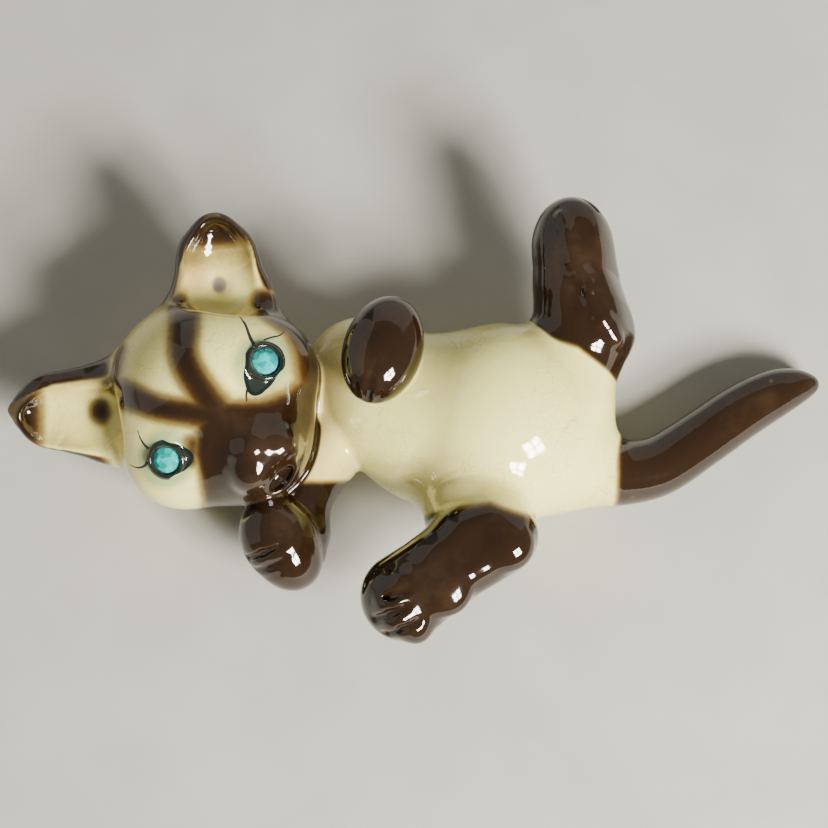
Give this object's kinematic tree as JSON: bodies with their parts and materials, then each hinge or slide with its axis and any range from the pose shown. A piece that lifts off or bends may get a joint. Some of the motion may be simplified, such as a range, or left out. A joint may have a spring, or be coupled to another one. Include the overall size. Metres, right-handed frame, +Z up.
{
  "type": "ceramic cat figurine",
  "caption": "Glazed ceramic kitten lying on its back with raised paws, dark points and set turquoise glass eyes, for display on a shelf.",
  "frame": {"origin": "centre of the flat ground on the torso's back, on the table", "axes": "+Z up, out of the belly; -X towards the head, +X towards the tail; +Y towards the cat's left side"},
  "size_m": [0.2063, 0.1154, 0.0533],
  "materials": {
    "cream_glaze": "gloss glaze with fine crazing",
    "brown_glaze": "gloss glaze, airbrushed dark brown",
    "eye_glass": "facetted, polished",
    "eye_foil": "bright foil",
    "eye_cement": "dull set cement"
  },
  "bodies": {
    "root": {"torso": "cream_glaze", "head": "cream_glaze", "left_foreleg": "brown_glaze", "right_foreleg": "brown_glaze", "left_hind_leg": "brown_glaze", "right_hind_leg": "brown_glaze", "tail": "brown_glaze", "left_eye_stone": "eye_glass", "right_eye_stone": "eye_glass", "left_eye_foil": "eye_foil", "right_eye_foil": "eye_foil", "left_eye_cement": "eye_cement", "right_eye_cement": "eye_cement"}
  },
  "joints": []
}
